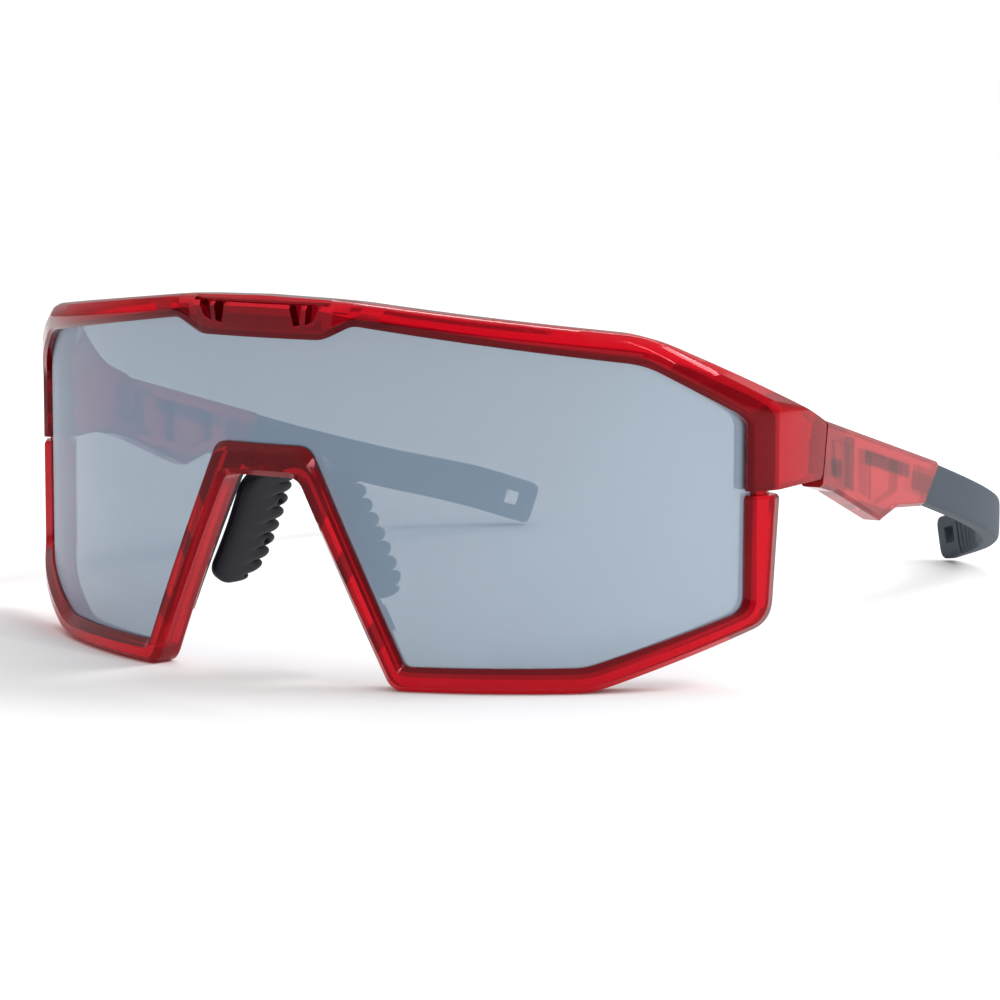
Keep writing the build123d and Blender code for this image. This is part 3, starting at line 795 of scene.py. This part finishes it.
# the front end is cut along the slanting seam
seam_way = np.array([0, seam_high[0] - seam_low[0], seam_high[1] - seam_low[1]])
low_corner = np.array([0.066, seam_low[0] + front_shift, seam_low[1]])
seam_outline = np.array([
    low_corner - seam_way * 2, low_corner + seam_way * 3,
    low_corner + seam_way * 3 + np.array([0, -0.05, 0.05]),
    low_corner - seam_way * 2 + np.array([0, -0.05, 0.05]),
])
cut_with(left_tip, prism("seam_cutter", seam_outline, (0.012, 0, 0)))
# and the square hole goes through near the other end
hole_half = 0.0016
hole_middle = np.array([0.0508, 0.1715 + front_shift, 0.0058])
hole_through = np.array([-0.59, -0.81, 0.0])
hole_back = np.array([0.765, -0.564, 0.31]) * hole_half
hole_up = np.array([0.25, -0.18, -0.95]) * -hole_half
square = np.array([
    hole_middle - hole_back - hole_up, hole_middle + hole_back - hole_up,
    hole_middle + hole_back + hole_up, hole_middle - hole_back + hole_up,
]) - hole_through * 0.008
cut_with(left_tip, prism("hole_cutter", square, hole_through * 0.016))
soften(left_tip, 0.0003, 40)
tip_rubber = fine_plastic("grey_rubber", (0.052, 0.066, 0.088), 0.62, 2200.0, 0.00005)
left_tip.data.materials.append(tip_rubber)
right_tip = mirrored_piece(left_tip, "temple_tip_shell_right")
for side, tip in (("left", left_tip), ("right", right_tip)):
    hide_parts("temple_tip_" + side)
    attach(tip, side + "_temple")


# ---- Hinge screws and nose wires ----
# Plain steel screws hold the temples; a bent steel wire carries each nose pad.

bare_steel = fine_plastic("bare_steel", (0.52, 0.52, 0.54), 0.28, 900.0, 0.00001)
bare_steel.node_tree.nodes["Principled BSDF"].inputs["Metallic"].default_value = 1.0
for name in ("hinge_screw_left", "hinge_screw_right", "nose_wire_left", "nose_wire_right"):
    dress(name, bare_steel)


# ---- Nose clip ----
# A black nylon bracket pegged into the back of the arch; its two legs lie behind the legs of
# the arch. Their dark look through the arch, with a window of clear red between, is painted shade and
# painted light in the arch's tone.

clip_nylon = fine_plastic("clip_nylon", (0.020, 0.018, 0.024), 0.45, 1300.0, 0.00003)
dress("nose_clip", clip_nylon)


# ---- Nose pads ----
# Soft dark rubber blades on the nose wires. The rear edge is cut into a row of round-ended
# fingers, and two small moulding dimples sit at their roots.

pad_root, pad_end = np.array([0.0072, 0.0120, 0.0320]), np.array([0.0149, 0.0134, 0.0150])
pad_across = np.array([-0.19, 1.0, 0.06]) / np.linalg.norm([-0.19, 1.0, 0.06])
pad_reach = 0.0058  # from the middle line to the front and rear edges
pad_half = 0.0012  # half the thickness
pad_beyond = 0.0020  # how far it runs past the root and the end
pad_front = 0.0008  # how much further it reaches at the front
finger_from = 0.14  # the share of its length where the fingers start
finger_depth = 0.0034
dimple_places = (0.0051, 0.0129)  # along the pad, from its root
dimple_off, dimple_radius = 0.0040, 0.0005  # behind the middle line


def pad_surface(rows=300, around=88, fingers=7.5):
    """The left pad: its middle line is straight, and each row is a superellipse across it.
    Behind the middle the row is drawn in by the root of a sine along the pad, deep at the rear
    edge and shallow on the faces, which leaves a comb of round-ended fingers. Two steep
    bell-shaped dimples thin it almost away. The two ends close as half ellipses."""
    u = np.linspace(0, 1, rows)[:, None]
    way = pad_end - pad_root
    length = np.linalg.norm(way)
    along = way / length
    run = u * (length + 2 * pad_beyond) - pad_beyond
    middle = pad_root + along * run
    face = np.cross(pad_across, along)
    face /= np.linalg.norm(face)
    across = np.cross(along, face)
    across *= np.sign(across @ pad_across)
    turn = np.linspace(0, 2 * np.pi, around, endpoint=False)[None]
    wide = np.sign(np.cos(turn)) * np.abs(np.cos(turn)) ** 0.5
    tall = np.sign(np.sin(turn)) * np.abs(np.sin(turn)) ** 0.5
    end = np.minimum(run + pad_beyond, length + pad_beyond - run)
    close = np.sqrt(np.clip(1 - (1 - np.clip(end / 0.0046, 0, 1)) ** 2, 0, 1))
    thin = np.sqrt(np.clip(1 - (1 - np.clip(end / 0.0009, 0, 1)) ** 2, 0.0009, 1))
    lobe = np.abs(np.sin(np.pi * fingers * (u - finger_from) / (1 - finger_from))) ** 0.32
    lobe = np.where(u > finger_from, lobe, 1.0)
    behind = np.clip((wide - 0.15) / 0.85, 0, 1)
    drawn = (1 - lobe) * (finger_depth * behind**1.5)
    slit = (1 - lobe) * 0.8 * np.clip(behind * 2.2, 0, 1)
    bow = 0.0008 * np.sin(np.pi * u)
    reach = ((pad_reach + np.where(wide < 0, pad_front, 0)) * wide + bow - drawn) * close
    dimple = 1.0
    for place in dimple_places:
        away = (run - place) ** 2 + (reach - dimple_off) ** 2
        dimple = dimple * (1 - 0.9 * np.exp(-((away / dimple_radius**2) ** 2)))
    half = pad_half * tall * thin * (1 - slit) * dimple
    points = middle[:, None] + across * reach[..., None] + face * half[..., None]
    points[..., 1] += front_shift
    return points


pad_grid = pad_surface()
left_pad = make_piece("nose_pad_blade_left", pad_grid, shell_faces(*pad_grid.shape[:2]))
pad_rubber = fine_plastic("pad_rubber", (0.010, 0.010, 0.016), 0.46, 2600.0, 0.00004)
pad_rubber.node_tree.nodes["Principled BSDF"].inputs["Specular IOR Level"].default_value = 0.16
left_pad.data.materials.append(pad_rubber)
right_pad = mirrored_piece(left_pad, "nose_pad_blade_right")
for side, pad in (("left", left_pad), ("right", right_pad)):
    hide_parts("nose_pad_" + side)
    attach(pad, side + "_nose_pad")
